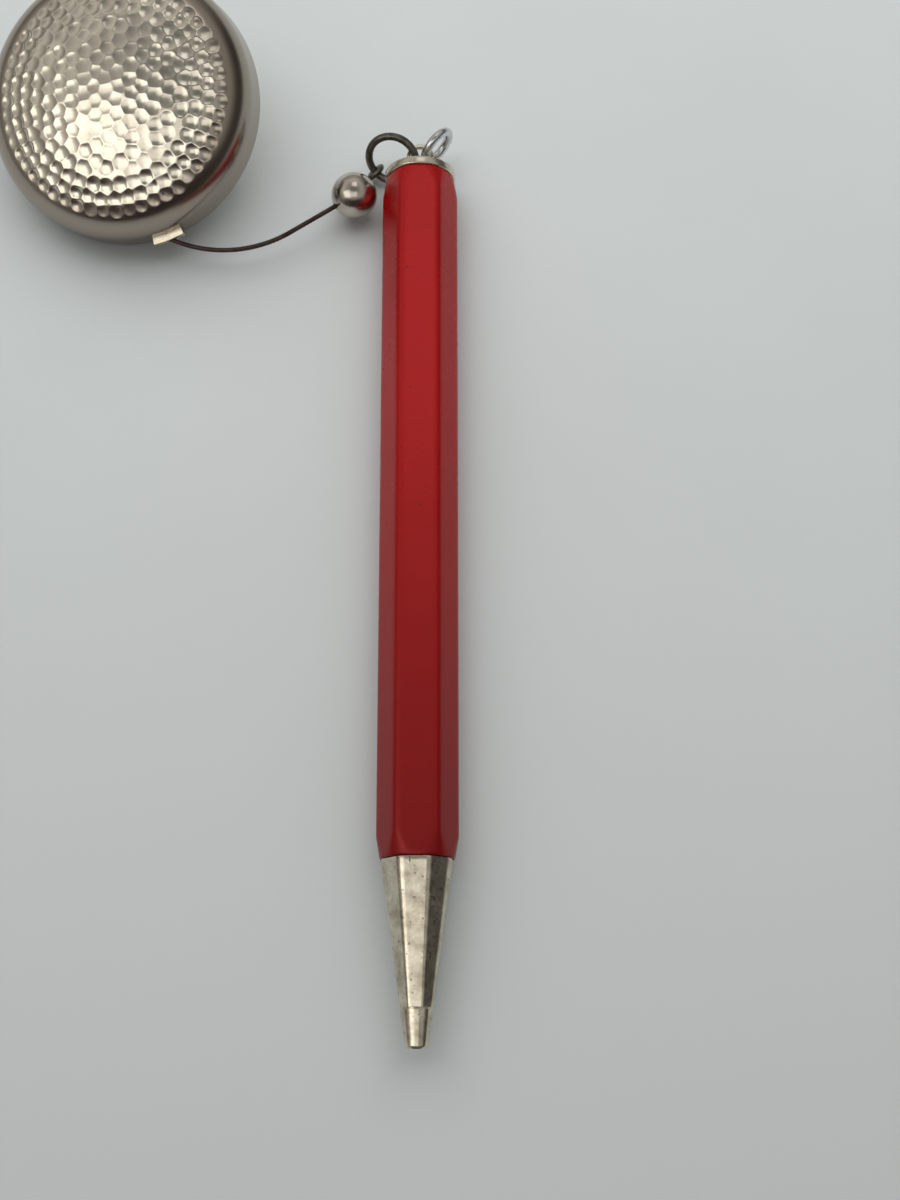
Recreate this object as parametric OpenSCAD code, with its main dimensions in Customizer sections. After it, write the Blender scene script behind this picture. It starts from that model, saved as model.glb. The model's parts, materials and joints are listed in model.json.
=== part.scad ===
// Retractable ballpoint pen on a spring reel, in millimetres.
// A red hexagonal twist pen hangs by a ring from a ball on a thin steel cable, which winds into a round case
// that pins to clothing. The pen lies along Y on a flat of its barrel, point towards -Y; the table is z = 0.
// The reel leans back on its rim and on the stem of its brooch pin.

/* [Barrel] */
// Length of the hexagonal barrel
barrel_len = 71.2; // [65:0.1:80]
// Width across the flats of the barrel
barrel_af = 7.0; // [6.8:0.1:7.2]
// Radius of the rounded corners' land
barrel_land_r = 3.88; // [3.7:0.01:4]
// Length of the coned stretch at each end
barrel_cone_len = 2.2; // [1:0.1:4]
// Radius of the barrel's bore
bore_r = 2.7; // [2.6:0.05:2.8]

/* [Nose cone] */
// Length of the visible nose cone
nose_len = 17; // [15:0.1:20]
// Corner radius of the nose where it meets the barrel
nose_r = 3.64; // [3.4:0.01:3.7]
// Corner radius where the eight facets end
nose_facet_end_r = 1.62; // [1.5:0.01:1.8]
// Length of the round stretch at the tip
nose_round_len = 3.5; // [2:0.1:5]
// Radius of the tip
nose_tip_r = 1.08; // [1:0.01:1.2]
// Turn of the facets about the pen's axis
nose_turn = -3.5; // [-10:0.5:10]

/* [Refill and twist action] */
// Radius of the refill tube
refill_r = 1.15; // [1.1:0.01:1.2]
// Length of the refill, point included
refill_len = 67; // [60:0.5:67]
// Travel of the refill over half a turn of the nose
refill_travel = 3.2; // [2.5:0.1:3.5]
// Radius of the writing ball
tip_ball_r = 0.35; // [0.3:0.05:0.4]

/* [Cap and rings] */
// Radius of the cap disc
cap_r = 3.65; // [3.5:0.01:3.8]
// Thickness of the cap disc
cap_t = 0.9; // [0.7:0.05:1]
// Radius of the wire of both rings
ring_wire_r = 0.4; // [0.35:0.01:0.4]
// Centre-line radius of the link ring
link_ring_r = 2.55; // [2.4:0.05:2.6]
// Centre-line radius of the bail ring
bail_ring_r = 1.8; // [1.6:0.05:2]

/* [Ball and cable] */
// Radius of the ball at the cable's end
ball_r = 2.4; // [2.2:0.05:2.5]
// Diameter of the cable
cable_d = 0.5; // [0.4:0.05:0.5]
// Radius of the cable's slack bend
bend_r = 12.5; // [11:0.1:14]

/* [Reel] */
// Outer radius of the case
case_r = 14.1; // [14:0.05:14.3]
// Depth of the case from its rim to the top of the dome
case_depth = 8.4; // [8.4:0.1:9]
// Radius of the case's shoulder
shoulder_r = 3.8; // [3.6:0.1:4]
// Lean of the case about X
lean_x = 18.5; // [18:0.5:19]
// Lean of the case about Y
lean_y = -11; // [-11.5:0.5:-10.5]
// Radius of the dome
dome_r = 34; // [32:1:40]
// Thickness of the case's sheet metal
sheet_t = 0.5; // [0.3:0.05:0.5]
// Turns of cable on the full drum
turns = 6; // [5:1:6]

/* [Hidden] */
$fn = 48;
RUN = 0.05;                                  // radial clearance of a running fit
SNUG = 0.01;                                 // radial clearance of a fixed fit
axis_z = barrel_af / 2;
corner_r = barrel_af / 2 / cos(30);
mouth_y = -barrel_len / 2;
end_y = barrel_len / 2;
tip_y = mouth_y - nose_len;

// nose, guide tube and spiral sleeve
neck_r = bore_r - 0.06;
neck_len = 8;
guide_r = 1.95;
guide_in_r = 1.6;
guide_y = [mouth_y + 2, mouth_y + 25.6];
sleeve_y = [mouth_y + 8.6, mouth_y + 22.6];
drive_pin_r = 0.35;
drive_pin_y = mouth_y + 15.6;
carrier_y = [mouth_y + 9.6, mouth_y + 18.6];
rear_bush_y = [mouth_y + 44, mouth_y + 48];
snap_y = mouth_y + 4.6;
snap_t = 0.7;
spring_seat_y = mouth_y - 8.4;
return_wire_r = 0.15;
return_coil_r = 1.38;

// refill, counted from its front
refill_front_y = tip_y + 0.2;
neck_end_y = refill_front_y + 4.5;
shoulder_y = refill_front_y + 5.8;
tube_y = refill_front_y + 7;
refill_end_y = refill_front_y + refill_len;

// cap lug, and the two rings through its hole
lug_t = 0.6;
lug_y = end_y + 2.8;
lug_hole_r = 1.05;
lug_r = 1.42;
ring_gap = 0.5;
link_turn = -15;
link_dip = 58;
link_at = 18;
link_eye_at = 230;
bail_turn = 47;

// ball and cable
ball_c = [-6.92, mouth_y + 69.9, 2.9];
cable_z = ball_c[2];
cable_r = cable_d / 2;
entry_dir = 33;                              // the cable's heading where it enters the ball
exit_dir = -24;                              // the cable's heading where it leaves the reel
straight_len = 7.9;
bend_c = ball_c + bend_r * [-sin(entry_dir), cos(entry_dir), 0]
         - straight_len * [cos(entry_dir), sin(entry_dir), 0];
exit_p = bend_c + bend_r * [sin(exit_dir), -cos(exit_dir), 0];
eye_wire_r = 0.3;
eye_r = 0.8;
ferrule_r = 0.6;
ferrule_len = 1.6;

// turns a vector about an axis
function turn_x(v, a) = [v[0], v[1] * cos(a) - v[2] * sin(a), v[1] * sin(a) + v[2] * cos(a)];
function turn_y(v, a) = [v[0] * cos(a) + v[2] * sin(a), v[1], v[2] * cos(a) - v[0] * sin(a)];
function turn_z(v, a) = [v[0] * cos(a) - v[1] * sin(a), v[0] * sin(a) + v[1] * cos(a), v[2]];

// reel: its own frame has z along the drum's axis, and is set so that the cable leaves at its own height
function from_table(v) = turn_x(turn_y(v, -lean_y), -lean_x);
reel_up = turn_y(turn_x([0, 0, 1], lean_x), lean_y);
reel_xy = [-30.08, mouth_y + 79.32];
groove_mid_z = 3;
reel_z = exit_p[2] - (groove_mid_z - reel_up[0] * (exit_p[0] - reel_xy[0])
                      - reel_up[1] * (exit_p[1] - reel_xy[1])) / reel_up[2];
reel_c = [reel_xy[0], reel_xy[1], reel_z];
exit_in_reel = from_table(exit_p - reel_c);
heading = from_table([cos(exit_dir), sin(exit_dir),
                      -(reel_up[0] * cos(exit_dir) + reel_up[1] * sin(exit_dir)) / reel_up[2]]);
run_dir = atan2(heading[1], heading[0]);
drum_axis_to_run = exit_in_reel[0] * sin(run_dir) - exit_in_reel[1] * cos(run_dir);
run_foot = drum_axis_to_run * [sin(run_dir), -cos(run_dir), 0] + [0, 0, groove_mid_z];
run_len = norm(exit_in_reel - run_foot);
run_start = 3.45;                            // where the run is clear of the outer turn of cable
rim_z = 1.5;
case_top = rim_z + case_depth;
plate_z = [1.7, 2.1];
shoulder_x = case_r - shoulder_r;
dome_c = case_top - dome_r;
dome_flat = 0.9999;                          // the dome is this share of a ball's height
shoulder_z = dome_c + sqrt(pow(dome_r - shoulder_r, 2) - pow(shoulder_x, 2));
flange_r = 11.9;
wind_pitch = cable_d + 0.02;
core_r = drum_axis_to_run - (turns - 1) * wind_pitch - cable_r - 0.07;
groove_z = [groove_mid_z - 0.4, groove_mid_z + 0.4];
cup_r = 10.2;
cup_in_r = 9.6;
cup_z = [3.7, 6.9];
guide_bush_r = 0.6;
exit_bore_start = 6.2;                        // places along the cable's run, counted from its foot
bush_ends = [7.35, 9];
arbor_r = 1.5;
arbor_seat_r = 2.4;
arbor_seat_z = [3.8, 6.8];
arbor_top_r = 1.3;
arbor_top_z = 8.1;
clip_groove_z = [7.35, 7.65];
clip_groove_r = 0.95;
strip_t = 0.12;
strip_z = [4, 6.6];
spring_turns = 8;
spring_segments = 24;

// brooch pin on the back plate, in its own frame: x along the pin, y across it
pin_turn = let (up = from_table([0, 0, 1])) atan2(-up[0], up[1]);
pin_z = -2.5;
ear_r = 0.85;
pin_hinge_x = -9.5;
catch_x = 9;
stem_r = 0.35;
rivet_r = 0.27;
ear_y = [1.3, 1.7];

RED = [0.58, 0.13, 0.12];
NICKEL = [0.66, 0.63, 0.56];
STEEL = [0.62, 0.63, 0.64];
DARK_STEEL = [0.30, 0.29, 0.27];
BRASS = [0.78, 0.63, 0.33];
CABLE = [0.20, 0.15, 0.14];

// puts a shape built up its own z axis along the pen, starting at y
module on_pen(y) translate([0, y, axis_z]) rotate([-90, 0, 0]) children();

// a tube or rod between two places along the pen
module pen_rod(y, r) on_pen(y[0]) cylinder(h = y[1] - y[0], r = r);
module pen_tube(y, r, in_r) {
    difference() {
        pen_rod(y, r);
        pen_rod([y[0] - 1, y[1] + 1], in_r);
    }
}

// turns the z axis to a direction
module aim(v) rotate([0, acos(v[2] / norm(v)), atan2(v[1], v[0])]) children();

module torus(r, wire_r) rotate_extrude() translate([r, 0]) circle(wire_r);

// the lower face of a circular washer at z[0], its upper at z[1]
module washer(z, r, in_r) {
    translate([0, 0, z[0]]) difference() {
        cylinder(h = z[1] - z[0], r = r);
        translate([0, 0, -1]) cylinder(h = z[1] - z[0] + 2, r = in_r);
    }
}

module at_reel() translate(reel_c) rotate([lean_x, lean_y, 0]) children();
module at_pin() at_reel() rotate([0, 0, pin_turn]) children();

// ---- pen ----

module barrel() color(RED) {
    difference() {
        on_pen(mouth_y) intersection() {
            cylinder(h = barrel_len, r = corner_r, $fn = 6);
            rotate_extrude() polygon([
                [0, 0], [barrel_af / 2, 0], [barrel_land_r, barrel_cone_len],
                [barrel_land_r, barrel_len - barrel_cone_len], [barrel_af / 2, barrel_len], [0, barrel_len]]);
        }
        pen_rod([mouth_y - 1, end_y + 1], bore_r);
        pen_rod([snap_y - snap_t / 2 - RUN, snap_y + snap_t / 2 + RUN], bore_r + 0.25);
    }
}

module cap_disc() color(NICKEL) {
    plug_len = 5;
    edge = 0.2;
    pen_rod([end_y - plug_len, end_y], bore_r - SNUG);
    on_pen(end_y) rotate_extrude() polygon([
        [0, 0], [cap_r - edge, 0], [cap_r, edge], [cap_r, cap_t - edge], [cap_r - edge, cap_t], [0, cap_t]]);
}

// flat ear that both rings pass through
module cap_lug() color(NICKEL) {
    foot_y = end_y + cap_t;
    translate([0, 0, axis_z - lug_t / 2]) linear_extrude(lug_t) difference() {
        union() {
            translate([0, lug_y]) circle(lug_r);
            translate([-lug_r, foot_y]) square([2 * lug_r, lug_y - foot_y]);
        }
        translate([0, lug_y]) circle(lug_hole_r);
    }
}

// sleeve fixed in the barrel; the drive pin climbs its helical slot as the nose turns
module spiral_sleeve() color(BRASS) {
    slot_r = drive_pin_r + 0.07;
    steps = 27;
    difference() {
        pen_tube(sleeve_y, bore_r - SNUG, guide_r + RUN);
        for (i = [0 : steps - 1]) {
            part = i / (steps - 1);
            translate([0, drive_pin_y - part * refill_travel, axis_z]) rotate([0, -180 * part, 0])
                rotate([0, 90, 0]) cylinder(h = bore_r + 1, r = slot_r);
        }
    }
}

// split ring that holds the nose's neck in the barrel
module retaining_ring() color(STEEL) {
    difference() {
        pen_tube([snap_y - snap_t / 2, snap_y + snap_t / 2], bore_r + 0.23, neck_r - 0.28);
        translate([-0.4, snap_y - 1, axis_z]) cube([0.8, 2, 5]);
    }
}

// bush that steadies the back of the refill
module refill_guide() color(BRASS) pen_tube(rear_bush_y, bore_r - SNUG, refill_r + RUN);

module nose_cone() color(NICKEL) {
    facet_len = nose_len - nose_round_len;
    corner = 0.975;                          // share of their radius that the facets' corners are worn to
    seat_r = guide_in_r + 0.15;
    slide_r = refill_r + 0.1;
    mouth_r = 0.68;
    difference() {
        union() {
            on_pen(mouth_y - facet_len) rotate([0, 0, nose_turn + 22.5]) intersection() {
                cylinder(h = facet_len, r1 = nose_facet_end_r, r2 = nose_r, $fn = 8);
                cylinder(h = facet_len, r1 = nose_facet_end_r * corner, r2 = nose_r * corner);
            }
            on_pen(tip_y) cylinder(h = nose_round_len, r1 = nose_tip_r, r2 = nose_facet_end_r * 0.95);
            pen_rod([mouth_y, mouth_y + neck_len], neck_r);
        }
        pen_rod([tip_y - 1, mouth_y], mouth_r);
        on_pen(tip_y + 1.1) cylinder(h = 1.7, r1 = mouth_r, r2 = slide_r);
        pen_rod([tip_y + 2.8, mouth_y], slide_r);
        pen_rod([spring_seat_y, mouth_y + neck_len + 1], seat_r);
        pen_rod([guide_y[0], mouth_y + neck_len + 1], guide_r);
        pen_tube([snap_y - snap_t / 2 - RUN, snap_y + snap_t / 2 + RUN], neck_r + 1, neck_r - 0.34);
    }
}

// tube fixed in the nose, with a straight slot that turns the drive pin
module guide_tube() color(BRASS) {
    slot_w = 2 * drive_pin_r + 0.08;
    difference() {
        pen_tube(guide_y, guide_r, guide_in_r);
        translate([0, drive_pin_y - refill_travel - slot_w, axis_z - slot_w / 2])
            cube([guide_r + 1, refill_travel + 2 * slot_w, slot_w]);
    }
}

// light coil that keeps the drive pin against one side of its slot
module return_spring() color(STEEL) {
    coils = 11;
    segments = 12;
    sides = 6;
    len = carrier_y[0] - spring_seat_y - 2 * return_wire_r - 0.1;
    n = coils * segments;
    points = [for (i = [0 : n]) let (a = 360 * i / segments, y = len * i / n)
              for (k = [0 : sides - 1]) let (b = 360 * k / sides, r = return_coil_r + return_wire_r * cos(b))
              [r * cos(a), r * sin(a), y + return_wire_r * sin(b)]];
    walls = [for (i = [0 : n - 1], k = [0 : sides - 1], half = [0, 1]) let (m = (k + 1) % sides)
             half == 0 ? [i * sides + k, i * sides + m, (i + 1) * sides + m]
                       : [i * sides + k, (i + 1) * sides + m, (i + 1) * sides + k]];
    ends = [[for (k = [0 : sides - 1]) sides - 1 - k], [for (k = [0 : sides - 1]) n * sides + k]];
    on_pen(spring_seat_y + return_wire_r + 0.05) polyhedron(points, concat(walls, ends));
}

// ---- refill ----

module refill_tube() color(BRASS) pen_tube([tube_y, refill_end_y], refill_r, refill_r - 0.3);

module refill_tip() color(BRASS) {
    neck_r = 0.55;
    spigot_len = 2;
    difference() {
        union() {
            pen_rod([refill_front_y + 0.2, neck_end_y], neck_r);
            on_pen(neck_end_y) cylinder(h = shoulder_y - neck_end_y, r1 = neck_r, r2 = refill_r);
            pen_rod([shoulder_y, tube_y], refill_r);
            pen_rod([tube_y, tube_y + spigot_len], refill_r - 0.3 - SNUG);
        }
        pen_rod([refill_front_y, tube_y + spigot_len + 1], 0.2);
        translate([0, refill_front_y + tip_ball_r, axis_z]) sphere(tip_ball_r + 0.02);
    }
}

module tip_ball() color(STEEL)
    translate([0, refill_front_y + tip_ball_r, axis_z]) rotate([0, 90, 0]) sphere(tip_ball_r);

// collar pressed on the refill; it slides in the guide tube
module carrier() color(STEEL) {
    difference() {
        pen_tube(carrier_y, guide_in_r - RUN, refill_r);
        translate([refill_r - 1, drive_pin_y, axis_z]) rotate([0, 90, 0]) cylinder(h = 2, r = drive_pin_r);
    }
}

module drive_pin() color(STEEL) {
    intersection() {
        translate([0, drive_pin_y, axis_z]) rotate([0, 90, 0]) cylinder(h = bore_r - 0.1, r = drive_pin_r);
        pen_tube([drive_pin_y - 1, drive_pin_y + 1], bore_r, refill_r + SNUG);
    }
}

// ---- rings ----

module bail_ring() color(STEEL) {
    translate([ring_gap, lug_y, axis_z]) rotate([0, 0, bail_turn]) translate([bail_ring_r, 0, 0])
        rotate([90, 0, 0]) torus(bail_ring_r, ring_wire_r);
}

// carries a shape from the link ring's own plane to its place through the lug
module in_link() {
    translate([-ring_gap, lug_y, axis_z]) rotate([0, 0, link_turn]) rotate([link_dip, 0, 0])
        translate([-link_ring_r * cos(link_at), -link_ring_r * sin(link_at), 0]) children();
}

module link_ring() color(DARK_STEEL) in_link() torus(link_ring_r, ring_wire_r);

// ---- ball and cable ----

// the point on the link ring that the eye holds
function on_link(a) = [-ring_gap, lug_y, axis_z] + turn_z(turn_x(
    link_ring_r * [cos(a) - cos(link_at), sin(a) - sin(link_at), 0], link_dip), link_turn);
function link_tangent(a) = turn_z(turn_x([-sin(a), cos(a), 0], link_dip), link_turn);
eye_p = on_link(link_eye_at);
eye_dir = eye_p - ball_c;

module eye_stem(from, to, r) {
    translate(ball_c) aim(eye_dir) translate([0, 0, from]) cylinder(h = to - from, r = r);
}

module eye_loop() color(DARK_STEEL) {
    translate(eye_p) aim(link_tangent(link_eye_at)) torus(eye_r, eye_wire_r);
    eye_stem(1.4, norm(eye_dir) - eye_r, eye_wire_r);
}

// along the cable's axis where it enters the ball; positive is into the ball
module entry_rod(from, to, r) {
    translate(ball_c) rotate([0, 0, entry_dir]) rotate([0, 90, 0]) translate([0, 0, from])
        cylinder(h = to - from, r = r);
}

module ball() color(NICKEL) {
    difference() {
        translate(ball_c) sphere(ball_r);
        entry_rod(-ball_r - 1, 0, cable_r + 0.07);
        entry_rod(-ferrule_len / 2 - 0.1, ferrule_len / 2 + 0.1, ferrule_r + RUN);
        eye_stem(1.35, ball_r + 1, eye_wire_r);
    }
}

// sleeve crimped on the cable's end; the ball turns on it
module ferrule() color(STEEL) {
    difference() {
        entry_rod(-ferrule_len / 2, ferrule_len / 2, ferrule_r);
        entry_rod(-ferrule_len, ferrule_len / 2 - 0.3, cable_r + SNUG);
    }
}

// slack bend from the reel to the ball
module cable() color(CABLE) {
    translate([bend_c[0], bend_c[1], cable_z]) rotate([0, 0, exit_dir - 90])
        rotate_extrude(angle = entry_dir - exit_dir) translate([bend_r, 0]) circle(cable_r);
    entry_rod(-straight_len, ferrule_len / 2 - 0.35, cable_r);
}

// straight run inside the reel, from the drum to the guide's mouth
module run_rod(from, to, r) {
    at_reel() translate(run_foot) rotate([0, 0, run_dir]) rotate([0, 90, 0])
        translate([0, 0, from]) cylinder(h = to - from, r = r);
}
module cable_run() color(CABLE) run_rod(run_start, run_len, cable_r);

// ---- reel ----

// half outline of the case, g inside its outer face
module case_outline(g) {
    past = (dome_r + 1) / (dome_r - shoulder_r);
    seam = [shoulder_x * past, dome_c + (shoulder_z - dome_c) * past];
    square([case_r - g, shoulder_z]);
    intersection() {
        translate([shoulder_x, shoulder_z]) circle(shoulder_r - g);
        square([case_r, case_top]);
    }
    intersection() {
        translate([0, dome_c]) scale([1, dome_flat]) circle(dome_r - g);
        polygon([[0, shoulder_z - 1], [shoulder_x, shoulder_z - 1], [shoulder_x, shoulder_z], seam,
                 [seam[0], case_top + 1], [0, case_top + 1]]);
    }
}

// domed cover whose rim folds in under the back plate
module case_cover() color(NICKEL) {
    difference() {
        at_reel() rotate_extrude() {
            difference() {
                case_outline(0);
                case_outline(sheet_t);
                square([case_r, rim_z]);
            }
            translate([case_r - 1.1, rim_z]) square([1.1 - sheet_t, plate_z[0] - rim_z]);
        }
        run_rod(exit_bore_start, run_len + 1, guide_bush_r);
    }
}

module back_plate() color(NICKEL) at_reel() washer(plate_z, case_r - sheet_t - SNUG, arbor_r + SNUG);

// fixed post that the drum turns on and the spring hooks to
module arbor() color(STEEL) {
    head_r = 2.4;
    head_z = plate_z[0] - 0.4;
    at_reel() rotate_extrude() polygon([
        [0, head_z], [head_r, head_z], [head_r, plate_z[0]], [arbor_r, plate_z[0]],
        [arbor_r, arbor_seat_z[0]], [arbor_seat_r, arbor_seat_z[0]], [arbor_seat_r, arbor_seat_z[1]],
        [arbor_top_r, arbor_seat_z[1]], [arbor_top_r, clip_groove_z[0]], [clip_groove_r, clip_groove_z[0]],
        [clip_groove_r, clip_groove_z[1]], [arbor_top_r, clip_groove_z[1]], [arbor_top_r, arbor_top_z],
        [0, arbor_top_z]]);
}

module arbor_clip() color(STEEL) {
    clip_r = 2.4;
    mouth_w = 1.6;
    at_reel() difference() {
        washer([clip_groove_z[0] + 0.02, clip_groove_z[1] - 0.02], clip_r, clip_groove_r + 0.02);
        translate([0, -mouth_w / 2, clip_groove_z[0] - 1]) cube([clip_r + 1, mouth_w, 2]);
    }
}

// bush through the case's side, and the short lip outside it that the cable comes out of
module cable_guide() color(NICKEL) {
    lip_t = 0.8;
    lip_h = 1.3;
    lip_span = 13;
    lip_from = atan2(exit_in_reel[1], exit_in_reel[0]) - 8.2;
    difference() {
        union() {
            run_rod(bush_ends[0], bush_ends[1], guide_bush_r - SNUG);
            at_reel() rotate([0, 0, lip_from]) rotate_extrude(angle = lip_span)
                translate([case_r + SNUG, groove_mid_z - lip_h / 2]) square([lip_t, lip_h]);
        }
        run_rod(exit_bore_start, run_len + 1, cable_r + 0.08);
    }
}

// flat spiral strip from the arbor to the drum's wall
module power_spring() color(STEEL) {
    from = arbor_seat_r + RUN;
    to = cup_in_r - RUN - strip_t;
    n = spring_turns * spring_segments;
    strip = function (i, side) let (a = 360 * i / spring_segments, r = from + (to - from) * i / n + side)
                               [r * cos(a), r * sin(a)];
    at_reel() translate([0, 0, strip_z[0]]) linear_extrude(strip_z[1] - strip_z[0]) polygon(concat(
        [for (i = [0 : n]) strip(i, 0)], [for (i = [n : -1 : 0]) strip(i, strip_t)]));
}

// spool: a groove for the cable below, a cup for the spring above
module cable_drum() color(STEEL) {
    foot_z = 2.2;
    hub_r = 3.2;
    hub_z = 2.6;
    core_in_r = core_r - 1.3;
    at_reel() rotate_extrude() polygon([
        [arbor_r + RUN, hub_z], [hub_r, hub_z], [hub_r, groove_z[1]], [core_in_r, groove_z[1]],
        [core_in_r, foot_z], [flange_r, foot_z], [flange_r, groove_z[0]], [core_r, groove_z[0]],
        [core_r, groove_z[1]], [flange_r, groove_z[1]], [flange_r, cup_z[0]], [cup_r, cup_z[0]],
        [cup_r, cup_z[1]], [cup_in_r, cup_z[1]], [cup_in_r, cup_z[0]], [arbor_r + RUN, cup_z[0]]]);
}

module drum_lid() color(STEEL) at_reel() washer([cup_z[1], cup_z[1] + 0.3], cup_r, arbor_top_r + RUN);

// the stored cable, one ring for each turn
module cable_winding() color(CABLE) {
    at_reel() for (i = [0 : turns - 1])
        translate([0, 0, groove_mid_z]) torus(drum_axis_to_run - i * wind_pitch, cable_r);
}

// ---- brooch pin ----

module across_pin(x, y, r) {
    translate([x, y[1], pin_z]) rotate([90, 0, 0]) cylinder(h = y[1] - y[0], r = r);
}
module along_pin(x, r) translate([x[0], 0, pin_z]) rotate([0, 90, 0]) cylinder(h = x[1] - x[0], r = r);

module pin_bracket() color(STEEL) at_pin() {
    base_t = 0.25;
    base_z = plate_z[0] - base_t;
    translate([pin_hinge_x - 2, -2.5, base_z]) cube([4, 5, base_t]);
    for (side = [0, 1]) mirror([0, side, 0]) difference() {
        union() {
            across_pin(pin_hinge_x, ear_y, ear_r);
            translate([pin_hinge_x - ear_r, ear_y[0], pin_z])
                cube([2 * ear_r, ear_y[1] - ear_y[0], base_z - pin_z]);
        }
        across_pin(pin_hinge_x, [0, 3], rivet_r + SNUG);
    }
}

module pin_rivet() color(STEEL) at_pin() {
    across_pin(pin_hinge_x, [-ear_y[1], ear_y[1]], rivet_r);
    for (side = [0, 1]) mirror([0, side, 0]) across_pin(pin_hinge_x, [ear_y[1], ear_y[1] + 0.2], 0.5);
}

module pin_stem() color(STEEL) at_pin() {
    difference() {
        union() {
            across_pin(pin_hinge_x, [-1.2, 1.2], 0.56);
            along_pin([pin_hinge_x, 11], stem_r);
        }
        across_pin(pin_hinge_x, [-2, 2], rivet_r + RUN);
    }
    translate([11, 0, pin_z]) rotate([0, 90, 0]) cylinder(h = 1.6, r1 = stem_r, r2 = 0.05);
}

// a pipe with a slot along its underside, wide enough for the stem
module slotted_pipe(x, r, in_r, slot) {
    difference() {
        along_pin(x, r);
        along_pin([x[0] - 1, x[1] + 1], in_r);
        translate([x[0] - 1, -slot / 2, pin_z - 2]) cube([x[1] - x[0] + 2, slot, 2]);
    }
}

module catch_housing() color(STEEL) at_pin() {
    half = 0.8;
    post_w = 1.2;
    x = [catch_x - half, catch_x + half];
    slotted_pipe(x, 0.85, 0.66, 0.9);
    difference() {
        translate([x[0], -post_w / 2, pin_z]) cube([2 * half, post_w, plate_z[0] - pin_z]);
        along_pin([x[0] - 1, x[1] + 1], 0.75);
    }
}

// slotted roller that locks the stem in when it is turned by its lever
module catch_roller() color(STEEL) at_pin() {
    slotted_pipe([catch_x - 1.1, catch_x + 1.1], 0.62, 0.46, 0.84);
    difference() {
        translate([catch_x + 1.1, -1.7, pin_z - 0.25]) cube([0.4, 1.7, 0.5]);
        along_pin([catch_x, catch_x + 3], 0.46);
    }
}

barrel();
cap_disc();
cap_lug();
spiral_sleeve();
retaining_ring();
refill_guide();
nose_cone();
guide_tube();
return_spring();
refill_tube();
refill_tip();
tip_ball();
carrier();
drive_pin();
bail_ring();
link_ring();
eye_loop();
ball();
ferrule();
cable();
cable_run();
case_cover();
back_plate();
arbor();
arbor_clip();
cable_guide();
power_spring();
cable_drum();
drum_lid();
cable_winding();
pin_bracket();
pin_rivet();
pin_stem();
catch_housing();
catch_roller();
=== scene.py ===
import json
import math

import bpy
import numpy as np
from mathutils import Matrix, Vector


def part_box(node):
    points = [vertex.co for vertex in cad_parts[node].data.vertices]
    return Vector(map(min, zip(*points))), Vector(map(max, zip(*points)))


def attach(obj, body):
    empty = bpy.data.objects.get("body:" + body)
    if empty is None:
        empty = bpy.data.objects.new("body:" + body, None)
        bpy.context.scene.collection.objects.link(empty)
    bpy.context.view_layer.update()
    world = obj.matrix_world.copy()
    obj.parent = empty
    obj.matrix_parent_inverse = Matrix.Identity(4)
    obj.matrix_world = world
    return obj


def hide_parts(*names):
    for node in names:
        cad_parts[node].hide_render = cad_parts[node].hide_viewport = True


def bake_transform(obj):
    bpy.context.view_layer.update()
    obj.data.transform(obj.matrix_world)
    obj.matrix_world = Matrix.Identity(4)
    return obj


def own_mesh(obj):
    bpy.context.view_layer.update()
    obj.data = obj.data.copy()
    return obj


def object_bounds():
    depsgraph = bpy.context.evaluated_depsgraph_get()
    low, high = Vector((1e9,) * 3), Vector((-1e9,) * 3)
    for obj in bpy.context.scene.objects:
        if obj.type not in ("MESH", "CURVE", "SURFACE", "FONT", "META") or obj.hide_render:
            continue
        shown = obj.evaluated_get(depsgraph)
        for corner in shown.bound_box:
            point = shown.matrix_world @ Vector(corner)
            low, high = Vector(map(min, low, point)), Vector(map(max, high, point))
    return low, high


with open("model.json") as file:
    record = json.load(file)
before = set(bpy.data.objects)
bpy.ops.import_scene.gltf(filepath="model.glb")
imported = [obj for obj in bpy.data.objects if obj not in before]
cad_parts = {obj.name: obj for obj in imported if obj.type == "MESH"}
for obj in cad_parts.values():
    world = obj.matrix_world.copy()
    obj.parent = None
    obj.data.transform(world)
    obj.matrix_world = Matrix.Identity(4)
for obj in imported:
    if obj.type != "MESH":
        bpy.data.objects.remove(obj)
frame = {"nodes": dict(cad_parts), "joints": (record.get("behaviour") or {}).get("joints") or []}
loaded_bounds = [list(v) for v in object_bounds()]
nodes = frame["nodes"]
joints = {joint["name"]: joint for joint in frame["joints"]}
rng = np.random.default_rng(7)

MM = 0.001
TAU = 2 * math.pi


def box_mm(node):
    """A node's lowest and highest corners, in millimetres."""
    return [np.round(np.array(corner) / MM, 3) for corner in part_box(node)]


def joint_mm(name):
    """Where a joint is at rest, in millimetres."""
    return np.array(joints[name]["pos_m"]) / MM


# the pen lies along y; these are in millimetres in the row frame
barrel_low, barrel_high = box_mm("barrel")
MOUTH_Y, END_Y = barrel_low[1], barrel_high[1]
AXIS_Z = (barrel_low[2] + barrel_high[2]) / 2
TIP_Y = box_mm("nose_cone")[0][1]
LUG = (joint_mm("pen_turn") + joint_mm("bail_turn")) / 2
BALL = joint_mm("ball_swivel")

# the pen's cross-sections
FLAT_R, CORNER_R, BORE_R = 3.5, 3.88, 2.7
CONE_LEN = 2.2

# the reel's own frame: its axis leans back, and its origin is on the axis, below the drum's joint
DRUM_JOINT_Z = 5.0
reel_axis = np.array(joints["drum_spin"]["axis"])
REEL = (Matrix.Translation(joint_mm("drum_spin") - DRUM_JOINT_Z * reel_axis)
        @ Matrix.Rotation(math.atan2(reel_axis[0], reel_axis[2]), 4, "Y")
        @ Matrix.Rotation(math.asin(-reel_axis[1]), 4, "X"))


# ---------- mesh tools, in millimetres ----------

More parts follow.
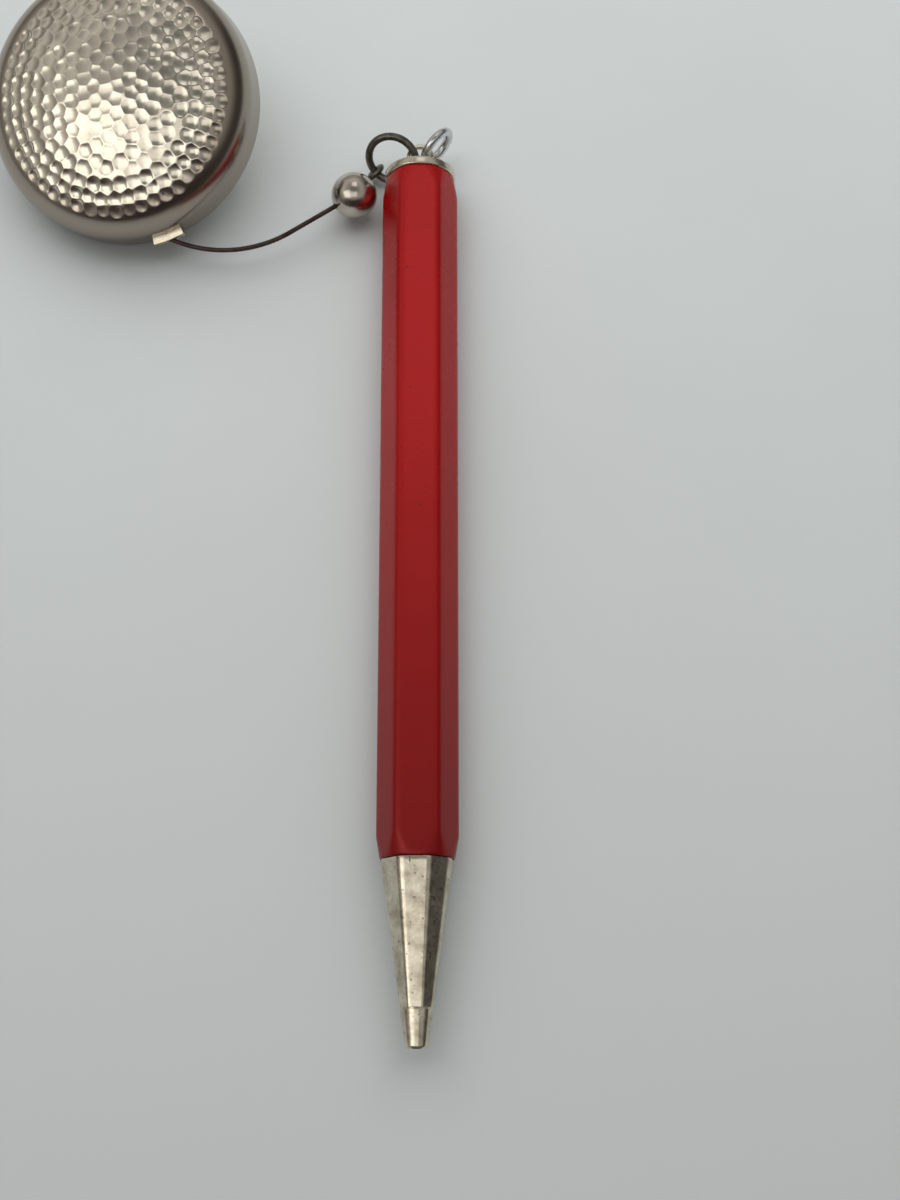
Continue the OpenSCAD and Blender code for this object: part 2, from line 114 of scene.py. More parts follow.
def add_mesh(name, points, faces, sharp):
    """A smooth-shaded mesh object from points in millimetres, with its edges sharp above an angle."""
    mesh = bpy.data.meshes.new(name)
    mesh.from_pydata((np.asarray(points, float) * MM).tolist(), [], [list(f) for f in faces])
    mesh.validate()
    mesh.polygons.foreach_set("use_smooth", [True] * len(mesh.polygons))
    mesh.set_sharp_from_angle(angle=math.radians(sharp))
    obj = bpy.data.objects.new(name, mesh)
    bpy.context.scene.collection.objects.link(obj)
    return obj


def grid_faces(rows, columns, close_rows=False):
    """Quads between rows of points; the columns always close on themselves."""
    faces = []
    for i in range(rows if close_rows else rows - 1):
        k = (i + 1) % rows
        for j in range(columns):
            m = (j + 1) % columns
            faces.append((i * columns + j, i * columns + m, k * columns + m, k * columns + j))
    return faces


def rounded(profile, radius, steps):
    """A profile with its corners cut by small arcs; an end point stays as it is."""
    out = [np.array(profile[0], float)]
    for a, b, c in zip(profile, profile[1:], profile[2:]):
        a, b, c = (np.array(p, float) for p in (a, b, c))
        u, v = a - b, c - b
        size = min(radius, 0.45 * np.linalg.norm(u), 0.45 * np.linalg.norm(v))
        u, v = u / np.linalg.norm(u) * size, v / np.linalg.norm(v) * size
        for t in np.linspace(0, 1, steps + 1):
            out.append(b + u * (1 - t) ** 2 + v * t ** 2)
    out.append(np.array(profile[-1], float))
    return np.array(out)


def revolve(name, profile, segments, place, sharp=35):
    """Turns (radius, height) points about local z, then carries them to their place."""
    profile = np.array(profile, float)
    a = np.linspace(0, TAU, segments, endpoint=False)
    local = np.stack([
        np.outer(profile[:, 0], np.cos(a)), np.outer(profile[:, 0], np.sin(a)),
        np.repeat(profile[:, 1:2], segments, axis=1)], axis=-1).reshape(-1, 3)
    return add_mesh(name, carry(place, local), grid_faces(len(profile), segments), sharp)


def carry(place, points):
    """Points moved by a 4x4 matrix."""
    m = np.array(place, float)
    return points @ m[:3, :3].T + m[:3, 3]


def place_at(point, direction):
    """A matrix that puts local z along a direction, with its origin at a point."""
    turn = Vector(direction).to_track_quat("Z", "Y").to_matrix().to_4x4()
    return Matrix.Translation(Vector(point)) @ turn


def sweep(name, path, radius, sides, flutes=0, twist=0.0, depth=0.0):
    """A round or fluted wire along a path. Twist is in turns along the whole path."""
    path = np.array(path, float)
    n = len(path)
    tangents = np.gradient(path, axis=0)
    tangents /= np.linalg.norm(tangents, axis=1)[:, None]
    up = np.array([0.0, 0.0, 1.0]) if abs(tangents[0][2]) < 0.9 else np.array([1.0, 0.0, 0.0])
    side = np.cross(up, tangents[0])
    rows = []
    for i in range(n):
        side = side - tangents[i] * (side @ tangents[i])
        side /= np.linalg.norm(side)
        over = np.cross(tangents[i], side)
        a = np.linspace(0, TAU, sides, endpoint=False)
        r = radius
        if flutes:
            groove = np.abs(np.cos(flutes / 2 * (a - TAU * twist * i / n))) ** 3
            r = radius * (1 - depth * groove)
        rows.append(path[i] + np.outer(r * np.cos(a), side) + np.outer(r * np.sin(a), over))
    ends = [tuple(range(sides - 1, -1, -1)), tuple((n - 1) * sides + k for k in range(sides))]
    return add_mesh(name, np.concatenate(rows), grid_faces(n, sides) + ends, 60)


# ---------- materials ----------

def ramp(tree, source, stops):
    node = tree.nodes.new("ShaderNodeValToRGB")
    tree.links.new(source, node.inputs["Fac"])
    for k, (place, colour) in enumerate(stops):
        element = node.color_ramp.elements[k] if k < 2 else node.color_ramp.elements.new(place)
        element.position = place
        element.color = (*colour, 1)
    return node.outputs["Color"]


def noise(tree, coordinates, size_mm, detail=3.0, roughness=0.55):
    node = tree.nodes.new("ShaderNodeTexNoise")
    tree.links.new(coordinates, node.inputs["Vector"])
    node.inputs["Scale"].default_value = 1000 / size_mm
    node.inputs["Detail"].default_value = detail
    node.inputs["Roughness"].default_value = roughness
    return node.outputs["Fac"]


def remap(tree, source, low, high, to_low, to_high):
    node = tree.nodes.new("ShaderNodeMapRange")
    tree.links.new(source, node.inputs["Value"])
    for key, value in (("From Min", low), ("From Max", high), ("To Min", to_low), ("To Max", to_high)):
        node.inputs[key].default_value = value
    return node.outputs["Result"]


def mix(tree, factor, a, b):
    node = tree.nodes.new("ShaderNodeMix")
    node.data_type = "RGBA"
    for source, socket in ((factor, node.inputs[0]), (a, node.inputs[6]), (b, node.inputs[7])):
        if isinstance(source, bpy.types.NodeSocket):
            tree.links.new(source, socket)
        else:
            socket.default_value = source if isinstance(source, float) else (*source, 1)
    return node.outputs[2]


def multiply(tree, a, b):
    node = tree.nodes.new("ShaderNodeMath")
    node.operation = "MULTIPLY"
    for k, source in enumerate((a, b)):
        if isinstance(source, bpy.types.NodeSocket):
            tree.links.new(source, node.inputs[k])
        else:
            node.inputs[k].default_value = source
    return node.outputs[0]


def finish_material(name, light, dark, roughness, grain_mm, bump_um, blotch_mm,
                    metallic=1.0, pits=None, sheen=0.5, shaded=None):
    """A surface with blotches of two tones, an uneven gloss, a fine grain and, if asked for, small dark pits.

    Where the mesh is marked for painted shade, its colour and gloss go over to the darker shaded ones.
    """
    m = bpy.data.materials.new(name)
    m.use_nodes = True
    tree = m.node_tree
    surface = tree.nodes["Principled BSDF"]
    coordinates = tree.nodes.new("ShaderNodeTexCoord").outputs["Object"]
    blotches = noise(tree, coordinates, blotch_mm, 5.0, 0.6)
    colour = ramp(tree, blotches, [(0.32, dark), (0.62, light)])
    gloss = remap(tree, noise(tree, coordinates, blotch_mm / 3), 0.3, 0.7, roughness[0], roughness[1])
    if pits:
        size, share, pit_colour = pits
        spots = remap(tree, noise(tree, coordinates, size, 1.0, 0.4), share, share + 0.03, 0, 1)
        colour = mix(tree, spots, colour, pit_colour)
    # painted shade: a darker colour and gloss mixed in where the mesh is marked for it
    if shaded:
        shade_colour, shade_roughness = shaded
        shade_amount = tree.nodes.new("ShaderNodeAttribute")
        shade_amount.attribute_name = "painted_shade"
        colour = mix(tree, shade_amount.outputs["Fac"], colour, shade_colour)
        gloss = mix(tree, shade_amount.outputs["Fac"], gloss, (shade_roughness,) * 3)
    tree.links.new(colour, surface.inputs["Base Color"])
    tree.links.new(gloss, surface.inputs["Roughness"])
    surface.inputs["Metallic"].default_value = metallic
    surface.inputs["Specular IOR Level"].default_value = sheen
    bump = tree.nodes.new("ShaderNodeBump")
    bump.inputs["Distance"].default_value = bump_um * 1e-6
    tree.links.new(noise(tree, coordinates, grain_mm, 4.0, 0.6), bump.inputs["Height"])
    tree.links.new(bump.outputs["Normal"], surface.inputs["Normal"])
    return m


# pits are their size in millimetres, how rare they are and their colour; the painted shade is given as a
# darker colour and a roughness
FINISHES = {
    "red_lacquer": dict(
        light=(0.375, 0.004, 0.004), dark=(0.335, 0.0035, 0.0035), roughness=(0.24, 0.34),
        grain_mm=0.9, bump_um=5.0, blotch_mm=14.0, metallic=0.3, sheen=0.3,
        # the darker colour mixed in last is painted shade towards the nose end
        pits=(0.5, 0.765, (0.10, 0.01, 0.01)), shaded=((0.215, 0.003, 0.003), 0.32)),
    "nickel": dict(
        light=(0.74, 0.68, 0.56), dark=(0.60, 0.54, 0.43), roughness=(0.20, 0.32),
        grain_mm=0.2, bump_um=1.6, blotch_mm=2.2, pits=(0.30, 0.72, (0.16, 0.14, 0.11))),
    "ball_nickel": dict(
        light=(0.62, 0.565, 0.49), dark=(0.46, 0.41, 0.36), roughness=(0.14, 0.22),
        grain_mm=0.2, bump_um=1.0, blotch_mm=2.6),
    "nose_nickel": dict(
        light=(0.76, 0.70, 0.57), dark=(0.45, 0.40, 0.315), roughness=(0.16, 0.26),
        grain_mm=0.25, bump_um=3.5, blotch_mm=1.3, pits=(0.35, 0.69, (0.24, 0.21, 0.165))),
    "hammered_nickel": dict(
        light=(0.78, 0.73, 0.62), dark=(0.62, 0.57, 0.48), roughness=(0.15, 0.24),
        grain_mm=0.3, bump_um=3.0, blotch_mm=2.4,
        # the darker colour mixed in last is painted shade on the shoulder and wall
        pits=(1.1, 0.80, (0.09, 0.075, 0.06)), shaded=((0.36, 0.31, 0.26), 0.22)),
    "steel": dict(
        light=(0.72, 0.73, 0.74), dark=(0.56, 0.57, 0.58), roughness=(0.18, 0.30),
        grain_mm=0.15, bump_um=1.0, blotch_mm=1.5),
    "dark_steel": dict(
        light=(0.20, 0.185, 0.165), dark=(0.10, 0.09, 0.08), roughness=(0.28, 0.42),
        grain_mm=0.15, bump_um=2.0, blotch_mm=0.8),
    "spring_steel": dict(
        light=(0.36, 0.38, 0.42), dark=(0.26, 0.27, 0.31), roughness=(0.22, 0.34),
        grain_mm=0.15, bump_um=1.0, blotch_mm=1.5),
    "brass": dict(
        light=(0.72, 0.50, 0.20), dark=(0.55, 0.36, 0.13), roughness=(0.20, 0.34),
        grain_mm=0.15, bump_um=1.2, blotch_mm=2.0),
    "cable": dict(
        light=(0.085, 0.055, 0.045), dark=(0.04, 0.026, 0.022), roughness=(0.32, 0.48),
        grain_mm=0.12, bump_um=2.0, blotch_mm=0.7, metallic=0.75),
    "tungsten": dict(
        light=(0.55, 0.55, 0.57), dark=(0.48, 0.48, 0.50), roughness=(0.08, 0.14),
        grain_mm=0.1, bump_um=0.4, blotch_mm=0.5),
}
MATERIALS = {name: finish_material(name, **finish) for name, finish in FINISHES.items()}


def dress(obj, slot, material=None):
    """Gives an object the material named by its slot, or another one."""
    obj.data.materials.clear()
    obj.data.materials.append(MATERIALS[material or slot])


def piece(obj, body, slot, *replaced, material=None):
    """Gives a new piece its material and its body, and hides the CAD nodes that it stands for."""
    dress(obj, slot, material)
    if body:
        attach(obj, body)
    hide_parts(*replaced)
    return obj


def painted_shade(obj, amounts):
    """Notes how much painted shade each point of a piece gets, from 0 to 1, for its material."""
    shade_amount = obj.data.attributes.new("painted_shade", "FLOAT", "POINT")
    shade_amount.data.foreach_set("value", np.clip(amounts, 0, 1))


# ---------- pen ----------

def along_pen(radial, stations):
    """Points round the pen's axis at each station; radial gives the radius for all angles at one station."""
    a = np.linspace(0, TAU, len(radial[0]), endpoint=False)
    return np.concatenate([
        np.stack([r * np.sin(a), np.full(len(a), y), AXIS_Z + r * np.cos(a)], axis=1)
        for r, y in zip(radial, stations)])


def flat_sided(angles, sides, apothem, offset=0.0):
    """Radius of a regular prism at each angle from the top, with a flat on top at offset 0."""
    sector = TAU / sides
    local = (angles - offset + sector / 2) % sector - sector / 2
    return apothem / np.cos(local)


def soft_min(a, b, sharpness=60):
    """The smaller of two radii, with the corner between them rounded."""
    return (a ** -sharpness + b ** -sharpness) ** (-1 / sharpness)


def build_barrel():
    """A hexagonal tube with coned ends and its corners turned down."""
    count = 288
    hexagon = flat_sided(np.linspace(0, TAU, count, endpoint=False), 6, FLAT_R)
    cone = np.linspace(0, CONE_LEN, 12)
    past_cone = CONE_LEN + 0.4
    stations = np.concatenate([
        MOUTH_Y + cone, np.linspace(MOUTH_Y + past_cone, END_Y - past_cone, 30), END_Y - cone[::-1]])
    from_end = np.minimum(stations - MOUTH_Y, END_Y - stations)
    limits = np.interp(from_end, [0, CONE_LEN], [FLAT_R, CORNER_R])
    outside = [soft_min(hexagon, np.full(count, limit)) for limit in limits]
    edge = 0.12
    bore, bore_edge = np.full(count, BORE_R), np.full(count, BORE_R + edge)

    def end_rows(outline):
        return [bore, bore_edge, outline - 2 * edge, outline - 0.4 * edge]

    def end_stations(y, inward):
        return [y + inward * edge, y, y, y + inward * 0.4 * edge]

    radial = end_rows(outside[0]) + outside[1:-1] + end_rows(outside[-1])[::-1]
    stations = [*end_stations(MOUTH_Y, 1), *stations[1:-1], *end_stations(END_Y, -1)[::-1]]
    barrel = add_mesh("barrel_lacquered", along_pen(radial, stations),
                      grid_faces(len(stations), count, close_rows=True), 28)
    # painted shade: the lacquer goes darker towards the nose end, standing in for the light falling off there
    nose_end_shade = np.interp(stations, [MOUTH_Y, 5], [1, 0])
    painted_shade(barrel, np.repeat(nose_end_shade, count))
    return barrel


def build_nose():
    """From the mouth over the round tip and the eight flats, round the neck and back through the bore."""
    count = 240
    angles = np.linspace(0, TAU, count, endpoint=False)
    turn = math.radians(-3.5)
    tip_len, tip_r, tip_end_r = 3.5, 1.08, 1.54
    facets_len, corner_low, corner_high = 13.5, 1.62, 3.64
    mouth = [(1.6, 0.68), (0.12, 0.68), (0, 0.76), (0, 1.0), (0.1, tip_r)]
    tip = [(tip_len * t, tip_r + (tip_end_r - tip_r) * t) for t in np.linspace(0.05, 0.94, 10)]
    step = [(tip_len - 0.1, 1.515), (tip_len - 0.05, 1.475), (tip_len + 0.02, 1.475)]
    ring_groove = [(4.2, 2.64), (4.2, 2.30), (5.0, 2.30), (5.0, 2.64)]
    neck = [(0, 2.64), *ring_groove, (7.9, 2.64), (8.0, 2.55), (8.0, 1.95)]
    spring_room = [(2.0, 1.95), (2.0, 1.75), (-8.4, 1.75), (-8.4, 1.25)]
    bore = [(2.8, 1.25), (1.6, 0.70)]

    def round_rows(start_y, outline):
        return [(start_y + y, np.full(count, r)) for y, r in outline]

    rows = round_rows(TIP_Y, mouth + tip + step)
    for t, drop in [(t, 0) for t in np.linspace(0.006, 0.985, 44)] + [(0.994, 0.03), (1.0, 0.12)]:
        corner = corner_low + (corner_high - corner_low) * t
        octagon = flat_sided(angles, 8, corner * math.cos(TAU / 16), turn)
        turned_corners = np.full(count, corner * 0.972)
        rows.append((TIP_Y + tip_len + facets_len * t, soft_min(octagon, turned_corners, 90) - drop))
    rows += round_rows(MOUTH_Y, neck + spring_room) + round_rows(TIP_Y, bore)
    return add_mesh("nose_faceted", along_pen([r for _, r in rows], [y for y, _ in rows]),
                    grid_faces(len(rows), count, close_rows=True), 22)


def build_cap():
    """The end disc with its plug in the barrel's bore."""
    profile = rounded([(0, -5), (2.69, -5), (2.69, 0), (3.65, 0), (3.65, 0.9), (0, 0.9)], 0.25, 5)
    return revolve("cap_plate", profile, 128, place_at((0, END_Y, AXIS_Z), (0, 1, 0)))


def build_return_spring():
    """A round-wire coil in the space of the CAD's coil."""
    low, high = box_mm("return_spring")
    wire, turns, steps = 0.15, 11, 440
    coil_r = (high[0] - low[0]) / 2 - wire
    t = np.linspace(0, 1, steps)
    y = low[1] + wire + (high[1] - low[1] - 2 * wire) * t
    angles = TAU * turns * t
    path = np.stack([coil_r * np.cos(angles), y, AXIS_Z + coil_r * np.sin(angles)], axis=1)
    return sweep("return_spring_coil", path, wire, 12)


piece(build_barrel(), "pen_barrel", "red_lacquer", "barrel")
piece(build_nose(), "nose", "nickel", "nose_cone", material="nose_nickel")
piece(build_cap(), "pen_barrel", "nickel", "cap_disc")
coil = piece(build_return_spring(), "nose", "spring_steel", "return_spring")
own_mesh(coil)


# ---------- rings, ball and cable ----------

def turned(v, dip, turn):
    """Turns a point about x by dip, then about z by turn, both in degrees."""
    d, t = math.radians(dip), math.radians(turn)
    x, y, z = v
    y, z = y * math.cos(d) - z * math.sin(d), y * math.sin(d) + z * math.cos(d)
    return np.array([x * math.cos(t) - y * math.sin(t), x * math.sin(t) + y * math.cos(t), z])


def ring_path(centre, radius, dip, turn, seam_at, gap_mm=0.03, steps=96):
    """An almost closed circle: a jump ring with its seam at one angle."""
    half = gap_mm / 2 / radius
    a = math.radians(seam_at) + np.linspace(half, TAU - half, steps)
    return [centre + turned((radius * math.cos(k), radius * math.sin(k), 0), dip, turn) for k in a]


# angles on the link ring: where it passes the lug's hole, and where the ball's eye holds it
LINK_R, LINK_DIP, LINK_TURN, LUG_AT, EYE_AT = 2.55, 58, -15, 18, 230
# the two rings pass through the lug's hole side by side
WIRE_APART = (0.5, 0, 0)


def on_link(angle):
    """A point of the link ring's centre line, from its centre."""
    a = math.radians(angle)
    return turned((LINK_R * math.cos(a), LINK_R * math.sin(a), 0), LINK_DIP, LINK_TURN)


link_centre = LUG - WIRE_APART - on_link(LUG_AT)
link = sweep("link_ring_wire", ring_path(link_centre, LINK_R, LINK_DIP, LINK_TURN, 285), 0.4, 24)
piece(link, "link_ring", "dark_steel", "link_ring")

BAIL_R, BAIL_TURN = 1.8, 47
bail_centre = LUG + WIRE_APART + turned((BAIL_R, 0, 0), 0, BAIL_TURN)
bail = sweep("bail_ring_wire", ring_path(bail_centre, BAIL_R, 90, BAIL_TURN, 250), 0.46, 24)
piece(bail, "bail_ring", "steel", "bail_ring")

BALL_R = 2.4
CABLE_R = 0.25
CABLE_OUT, CABLE_IN = math.radians(-24), math.radians(33)
into_ball = np.array([math.cos(CABLE_IN), math.sin(CABLE_IN), 0])


def build_ball():
    """A ball with the cable's hole in it, on the side that the cable comes from."""
    hole = 0.36
    profile = [(hole, 0.9), (hole, 2.3)]
    first = math.asin((hole + 0.14) / BALL_R)
    profile += [(BALL_R * math.sin(a), BALL_R * math.cos(a)) for a in np.linspace(first, math.pi, 64)]
    return revolve("ball_turned", profile, 96, place_at(BALL, -into_ball), 50)


def build_eye():
    """The wire that comes out of the ball and loops round the link ring."""
    wire_r, loop_r = 0.3, 0.8
    eye = link_centre + on_link(EYE_AT)
    a = math.radians(EYE_AT)
    eye_axis = turned((-math.sin(a), math.cos(a), 0), LINK_DIP, LINK_TURN)
    reach = np.linalg.norm(eye - BALL)
    out = (eye - BALL) / reach
    across = np.cross(eye_axis, out)
    across /= np.linalg.norm(across)
    inward = np.cross(across, eye_axis)
    path = [BALL + out * k for k in np.linspace(1.45, reach - 1.12, 5)]
    round_loop = np.linspace(0.25, TAU - 0.1, 40)
    path += [eye + loop_r * (across * math.sin(b) - inward * math.cos(b)) for b in round_loop]
    return sweep("eye_wire", path, wire_r, 16)


def cable_path():
    """The slack bend from the reel's lip, then straight into the ball."""
    bend, straight = 12.5, 7.9
    across = np.array([-into_ball[1], into_ball[0], 0])
    centre = BALL + bend * across - straight * into_ball
    headings = np.linspace(CABLE_OUT, CABLE_IN, 140)
    points = [centre + bend * np.array([math.sin(h), -math.cos(h), 0]) for h in headings]
    last = points[-1]
    return points + [last + k * into_ball for k in np.linspace(0.1, straight + 0.4, 80)]


piece(build_ball(), "ball", "nickel", "ball", material="ball_nickel")
piece(build_eye(), "ball", "dark_steel", "eye_loop")
route = cable_path()
cable = sweep("cable_laid", route, CABLE_R, 24, flutes=6, twist=9, depth=0.22)
piece(cable, None, "cable", "cable")
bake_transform(cable)


# ---------- reel ----------

# the case in its own frame
CASE_R, CASE_TOP, SHOULDER_R, DOME_R = 14.1, 9.9, 3.8, 34.0
RIM_Z, RIM_WIDTH, PLATE_Z, SHEET = 1.5, 1.1, 1.7, 0.5
SHOULDER_X = CASE_R - SHOULDER_R
DOME_C = CASE_TOP - DOME_R
SHOULDER_Z = DOME_C + math.sqrt((DOME_R - SHOULDER_R) ** 2 - SHOULDER_X ** 2)

# the hammered field: where its middle is, then radius, pitch, dimple radius and depth of its outer rings
FIELD_X, FIELD_Y = 0.45, -0.3
DIMPLE_RINGS = ((11.4, 1.40, 0.72, 0.15), (10.25, 1.40, 0.78, 0.16), (9.05, 1.45, 0.84, 0.15))
ROWS_WITHIN, ROW_DIMPLE_R, ROW_SCATTER = 8.1, 0.90, 0.16
ROW_PITCH, ROW_LEAN = 1.45, math.radians(25)


def case_profile(inset, step):
    """(radius, height) from the dome's top to the foot of the wall, inset from the case's outside."""
    lean = math.asin(SHOULDER_X / (DOME_R - SHOULDER_R))
    count = max(3, int(DOME_R * lean / step))
    dome = [((DOME_R - inset) * math.sin(a), DOME_C + (DOME_R - inset) * math.cos(a))
            for a in np.linspace(0.0004, lean, count)]
    count = max(3, int(SHOULDER_R * (math.pi / 2 - lean) / step))
    radius = SHOULDER_R - inset
    shoulder = [(SHOULDER_X + radius * math.sin(a), SHOULDER_Z + radius * math.cos(a))
                for a in np.linspace(lean, math.pi / 2, count)[1:]]
    return np.array(dome + shoulder)


def hammer_marks(outer):
    """Centre, radius and depth of each dimple: even rings near the edge, then rows over the middle."""
    marks = []

    def strike(x, y, size, depth, scatter=0.07):
        x, y = x + FIELD_X + rng.normal(0, scatter), y + FIELD_Y + rng.normal(0, scatter)
        z = np.interp(math.hypot(x, y), outer[:, 0], outer[:, 1])
        marks.append((x, y, z, size * rng.uniform(0.92, 1.10), depth * rng.uniform(0.7, 1.3)))

    for ring, pitch, size, depth in DIMPLE_RINGS:
        count = round(TAU * ring / pitch)
        start = rng.uniform(0, TAU)
        for k in range(count):
            a = start + TAU * k / count
            strike(ring * math.cos(a), ring * math.sin(a), size, depth)
    lean_cos, lean_sin = math.cos(ROW_LEAN), math.sin(ROW_LEAN)
    for row in range(-8, 9):
        for k in range(-8, 9):
            u, v = (k + 0.5 * (row % 2)) * ROW_PITCH, row * ROW_PITCH * 0.88
            x, y = u * lean_cos - v * lean_sin, u * lean_sin + v * lean_cos
            from_middle = math.hypot(x, y)
            if from_middle < ROWS_WITHIN:
                strike(x, y, ROW_DIMPLE_R, 0.07 + 0.008 * from_middle, ROW_SCATTER)
    return np.array(marks)


def build_cover():
    """The case's shell: a dimpled dome, shoulder, wall and rim, then its plain inside."""
    count = 620
    outer = case_profile(0, 0.11)
    wall = [(CASE_R, z) for z in np.linspace(SHOULDER_Z - 0.3, RIM_Z + 0.35, 6)]
    rim = rounded([
        (CASE_R, RIM_Z + 0.3), (CASE_R, RIM_Z), (CASE_R - RIM_WIDTH, RIM_Z),
        (CASE_R - RIM_WIDTH, PLATE_Z), (CASE_R - SHEET, PLATE_Z), (CASE_R - SHEET, SHOULDER_Z)], 0.16, 4)
    inner = case_profile(SHEET, 1.2)[::-1][1:]
    profile = np.concatenate([outer, wall, rim, inner])
    a = np.linspace(0, TAU, count, endpoint=False)
    marks = hammer_marks(outer)
    slope = np.gradient(outer, axis=0)
    normals = np.stack([-slope[:, 1], slope[:, 0]], axis=1)
    normals /= np.linalg.norm(normals, axis=1)[:, None]
    rows = []
    for i, (r, z) in enumerate(profile):
        row = np.stack([r * np.cos(a), r * np.sin(a), np.full(count, z)], axis=1)
        if i < len(outer):
            far = ((row[:, None, :] - marks[None, :, :3]) ** 2).sum(axis=2)
            sink = (np.clip(1 - far / marks[:, 3] ** 2, 0, None) * marks[:, 4]).max(axis=1)
            n_r, n_z = normals[i]
            outward = np.stack([n_r * np.cos(a), n_r * np.sin(a), np.full(count, n_z)], axis=1)
            row = row - sink[:, None] * outward
        rows.append(carry(REEL, row))
    cover = add_mesh("reel_cover_hammered", np.concatenate(rows), grid_faces(len(profile), count), 60)
    # painted shade: the shoulder and wall go darker, standing in for the dim reflections they take
    shoulder_shade = np.interp(profile[:, 0], [SHOULDER_X + 0.6, SHOULDER_X + 2.2], [0, 1])
    painted_shade(cover, np.repeat(shoulder_shade, count))
    return cover


piece(build_cover(), "reel_case", "hammered_nickel", "case_cover")


# ---------- the CAD's own pieces ----------

# each node's finish, and the width in millimetres that its edges are softened by
CAD_NODES = {
    "cap_lug": ("nickel", 0.10), "spiral_sleeve": ("brass", 0.04), "retaining_ring": ("spring_steel", 0.04),
    "refill_guide": ("brass", 0.06), "guide_tube": ("brass", 0.04), "refill_tube": ("brass", 0.04),
    "refill_tip": ("brass", 0.03), "tip_ball": ("tungsten", 0), "carrier": ("steel", 0.06),
    "drive_pin": ("steel", 0.04), "ferrule": ("steel", 0.05), "cable_run": ("cable", 0),
    "back_plate": ("nickel", 0.06), "arbor": ("steel", 0.05), "arbor_clip": ("spring_steel", 0.03),
    "cable_guide": ("nickel", 0.08), "power_spring": ("spring_steel", 0), "cable_drum": ("steel", 0.05),
    "drum_lid": ("steel", 0.05), "cable_winding": ("cable", 0), "pin_bracket": ("steel", 0.05),
    "pin_rivet": ("steel", 0.05), "pin_stem": ("steel", 0.02), "catch_housing": ("steel", 0.03),
    "catch_roller": ("steel", 0.03),
}
for node, (slot, width) in CAD_NODES.items():
    dress(nodes[node], slot)
    if width:
        weld = nodes[node].modifiers.new("weld", "WELD")
        weld.merge_threshold = 1e-6
        bevel = nodes[node].modifiers.new("bevel", "BEVEL")
        bevel.width = width * MM
        bevel.segments = 2
        bevel.limit_method = "ANGLE"
        bevel.angle_limit = math.radians(40)


# ---------- floor, light and camera ----------

def build_floor():
    """A wide sheet of pale paper just under the object, with painted shade darkening its near side."""
    size = 3.0
    z = loaded_bounds[0][2] - 0.00001
    mesh = bpy.data.meshes.new("floor")
    corners = [(-size, -size, z), (size, -size, z), (size, size, z), (-size, size, z)]
    mesh.from_pydata(corners, [], [(0, 1, 2, 3)])
    obj = bpy.data.objects.new("floor", mesh)
    bpy.context.scene.collection.objects.link(obj)
    m = bpy.data.materials.new("paper")
    m.use_nodes = True
    tree = m.node_tree
    surface = tree.nodes["Principled BSDF"]
    coordinates = tree.nodes.new("ShaderNodeTexCoord").outputs["Object"]
    tone_and_shade = ramp(tree, noise(tree, coordinates, 30, 4.0),
                [(0.3, (0.60, 0.615, 0.605)), (0.7, (0.63, 0.645, 0.64))])
    split = tree.nodes.new("ShaderNodeSeparateXYZ")
    tree.links.new(coordinates, split.inputs[0])
    # painted shade: the paper goes darker towards the near side, standing in for the light falling off there
    tone_and_shade = mix(tree, remap(tree, split.outputs[1], 0.07, -0.07, 0, 1), tone_and_shade, (0.55, 0.555, 0.545))
    tree.links.new(tone_and_shade, surface.inputs["Base Color"])
    surface.inputs["Roughness"].default_value = 0.6
    surface.inputs["Specular IOR Level"].default_value = 0.25
    obj.data.materials.append(m)


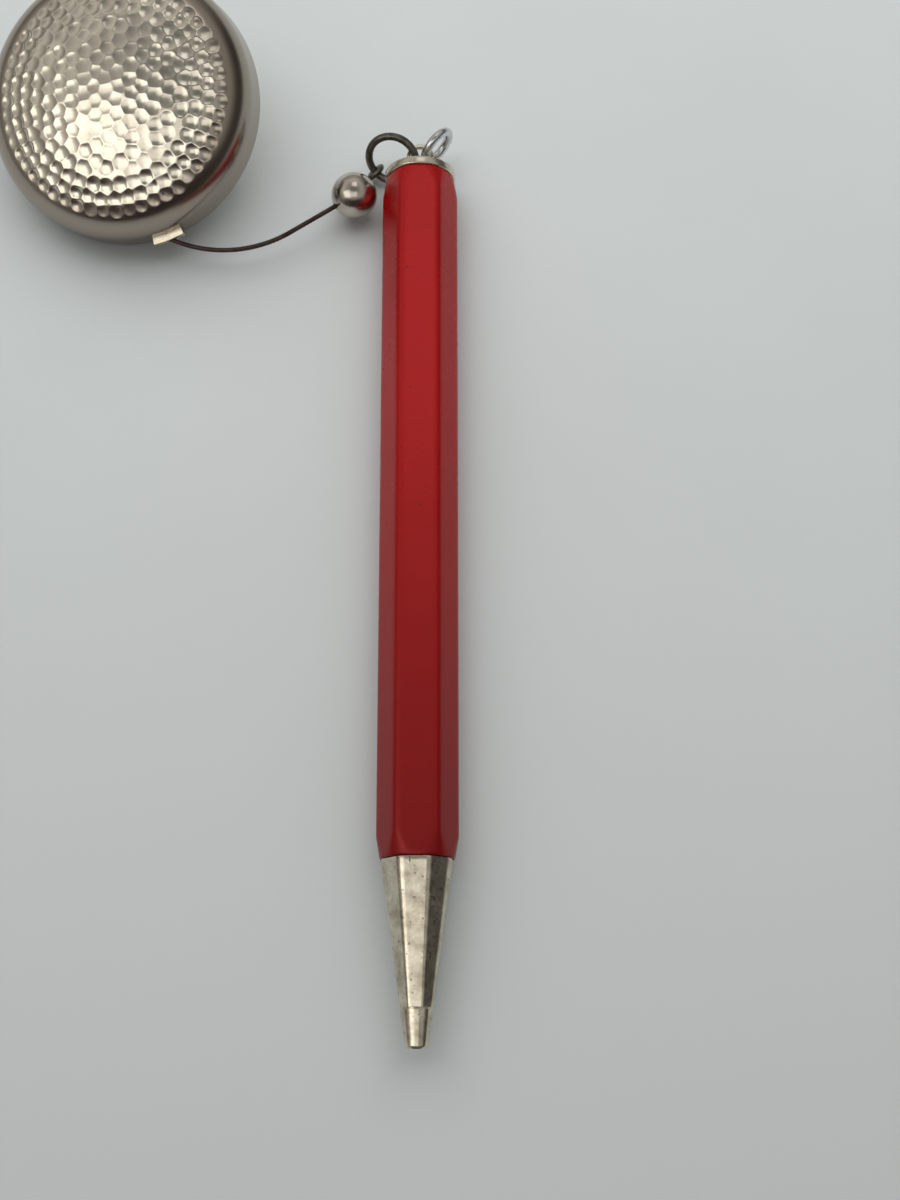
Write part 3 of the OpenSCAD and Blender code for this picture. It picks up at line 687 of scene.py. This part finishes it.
def build_world():
    """A room seen in the metal: pale halfway up, dark on the near side and low down on the right and left."""
    world = bpy.data.worlds.new("room")
    bpy.context.scene.world = world
    world.use_nodes = True
    tree = world.node_tree
    background = tree.nodes["Background"]
    direction = tree.nodes.new("ShaderNodeTexCoord").outputs["Generated"]
    split = tree.nodes.new("ShaderNodeSeparateXYZ")
    tree.links.new(direction, split.inputs[0])
    x, y, z = split.outputs
    room = ramp(tree, z, [(0.0, (0.27, 0.25, 0.22)), (0.3, (0.40, 0.38, 0.35)), (0.62, (0.60, 0.58, 0.54)),
                          (0.9, (0.34, 0.33, 0.32)), (1.0, (0.18, 0.18, 0.17))])
    near = multiply(tree, remap(tree, y, -0.72, -0.45, 1, 0), remap(tree, z, 0.55, 0.8, 1, 0))
    room = mix(tree, near, room, (0.05, 0.035, 0.035))
    right = multiply(tree, remap(tree, x, 0.15, 0.7, 0, 0.95), remap(tree, z, 0.35, 0.8, 1, 0))
    room = mix(tree, right, room, (0.055, 0.05, 0.045))
    left = multiply(tree, remap(tree, x, -0.2, -0.8, 0, 0.6), remap(tree, z, 0.2, 0.6, 1, 0))
    room = mix(tree, left, room, (0.13, 0.12, 0.11))
    path = tree.nodes.new("ShaderNodeLightPath").outputs
    colour = mix(tree, path["Is Glossy Ray"], (0.325, 0.335, 0.335), room)
    colour = mix(tree, path["Is Camera Ray"], colour, (0.60, 0.62, 0.61))
    tree.links.new(colour, background.inputs["Color"])


def area_light(name, place, target, size, watts, colour, seen_in_metal):
    """A panel that is only seen in reflections, or one that only lights."""
    data = bpy.data.lights.new(name, "AREA")
    data.shape = "RECTANGLE"
    data.size, data.size_y = size
    data.energy = watts
    data.color = colour
    obj = bpy.data.objects.new(name, data)
    bpy.context.scene.collection.objects.link(obj)
    obj.location = place
    obj.rotation_euler = (Vector(target) - Vector(place)).to_track_quat("-Z", "Y").to_euler()
    obj.visible_glossy = seen_in_metal
    obj.visible_diffuse = not seen_in_metal


build_floor()
build_world()
PANEL_Z = 0.45
for name, x, y, size, watts, colour in (
        ("ceiling", -0.01, -0.18, (0.30, 0.24), 0.17, (1.0, 0.98, 0.93)),
        ("skylight", -0.36, -0.17, (0.40, 0.36), 0.56, (1.0, 0.98, 0.92)),
        ("far_pane", 0.025, 0.28, (0.19, 0.23), 0.10, (1.0, 0.99, 0.96))):
    area_light(name, (x, y, PANEL_Z), (x, y, 0), size, watts, colour, seen_in_metal=True)
area_light("window", (-0.03, 0.22, 0.32), (0, 0, 0), (0.70, 0.50), 1.9, (0.97, 1.0, 1.0), seen_in_metal=False)

camera = bpy.data.objects.new("camera", bpy.data.cameras.new("camera"))
bpy.context.scene.collection.objects.link(camera)
camera_at = (0.00442, -0.06192, 0.17045)
right = (0.999963, -0.001160, -0.008482)
up = (0.003614, 0.955369, 0.295392)
back = (0.007761, -0.295412, 0.955338)
camera.matrix_world = Matrix.Translation(camera_at) @ Matrix((right, up, back)).transposed().to_4x4()
camera.data.sensor_width = 36
camera.data.lens = 54
camera.data.clip_start = 0.01
bpy.context.scene.camera = camera
bpy.context.scene.view_settings.view_transform = "Standard"
